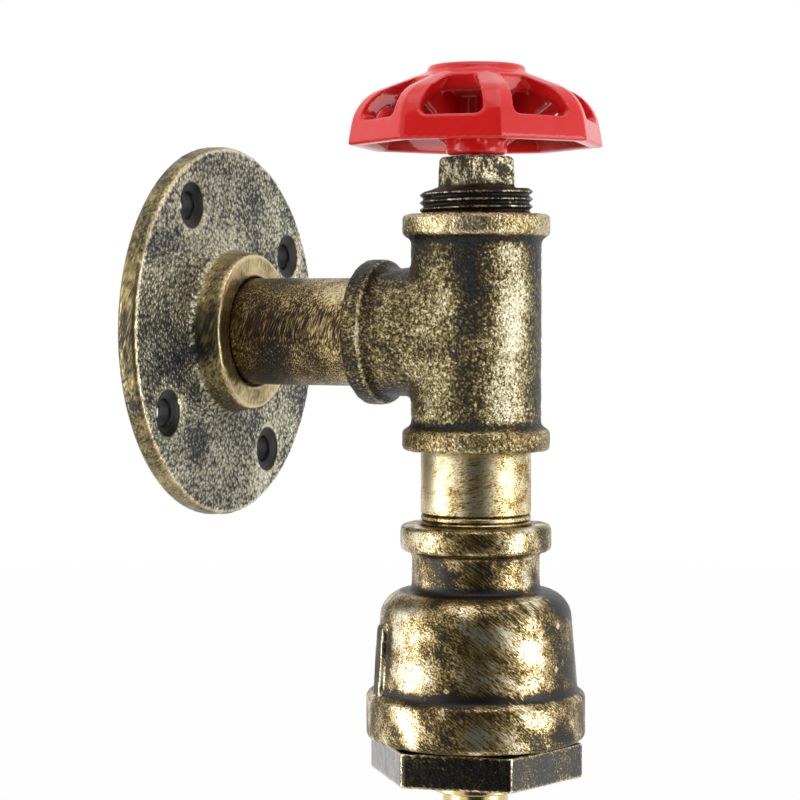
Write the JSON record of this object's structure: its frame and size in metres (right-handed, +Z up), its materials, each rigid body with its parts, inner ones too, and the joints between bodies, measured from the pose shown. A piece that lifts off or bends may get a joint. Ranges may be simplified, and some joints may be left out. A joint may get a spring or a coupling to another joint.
{
  "type": "pipe wall light",
  "caption": "Wall light of pipe fittings: a round wall flange, a short pipe arm and a tee, with a turning valve-wheel switch on top and a bell reducer that carries a bulb socket below.",
  "frame": {"origin": "centre of the flange's back face, on the wall", "axes": "+Z up along the column, -Y out of the wall along the arm, +Y into the wall"},
  "size_m": [0.094, 0.104, 0.239],
  "materials": {
    "cast_bronze": "sand-cast iron, antique brass plate rubbed back to black",
    "brushed_bronze": "brushed steel, antique brass plate",
    "dark_bronze": "blackened cast iron with worn brass edges",
    "red_enamel": "gloss red enamel",
    "brass": "polished",
    "zinc_steel": "zinc plated",
    "phenolic": "moulded",
    "porcelain": "glazed",
    "nylon": "moulded",
    "brown_wire": "extruded",
    "blue_wire": "extruded",
    "green_wire": "extruded, green and yellow"
  },
  "bodies": {
    "fixture": {"wall_flange": "cast_bronze", "arm_nipple": "brushed_bronze", "tee": "cast_bronze", "top_plug": "dark_bronze", "switch_bush": "brass", "switch_locknut": "brass", "switch_cover": "phenolic", "switch_base": "phenolic", "fixed_contacts": "brass", "spring_washer": "zinc_steel", "drop_nipple": "brushed_bronze", "bell_reducer": "brushed_bronze", "hex_plug": "dark_bronze", "lamp_tube": "brass", "tube_locknut": "brass", "tube_washer": "zinc_steel", "earth_tag": "brass", "check_ring": "brass", "holder_cap": "brass", "cap_grub_screw": "zinc_steel", "holder_skirt": "brass", "socket_liner": "porcelain", "holder_insulator": "porcelain", "screw_shell": "brass", "contact_spring": "zinc_steel", "live_terminal": "brass", "neutral_terminal": "brass", "terminal_screws": "zinc_steel", "supply_connector": "nylon", "connector_clamps": "brass", "feed_wire": "brown_wire", "neutral_wire": "blue_wire", "switched_wire": "brown_wire", "earth_wire": "green_wire"},
    "wheel": {"handwheel": "red_enamel", "wheel_washer": "zinc_steel", "wheel_nut": "zinc_steel", "spindle": "zinc_steel", "switch_rotor": "phenolic", "bridge_contact": "brass"},
    "contact": {"centre_contact": "brass"}
  },
  "joints": [
    {"name": "wheel_turn", "type": "hinge", "parent": "fixture", "child": "wheel", "pos_m": [0, -0.0732, 0.05], "axis": [0, 0, 1], "continuous": true},
    {"name": "contact_press", "type": "slide", "parent": "fixture", "child": "contact", "axis": [0, 0, 1], "range_m": [0, 0.0015], "stiffness_N_per_m": 600, "springref_m": -0.002, "deforming": ["contact_spring"]}
  ]
}
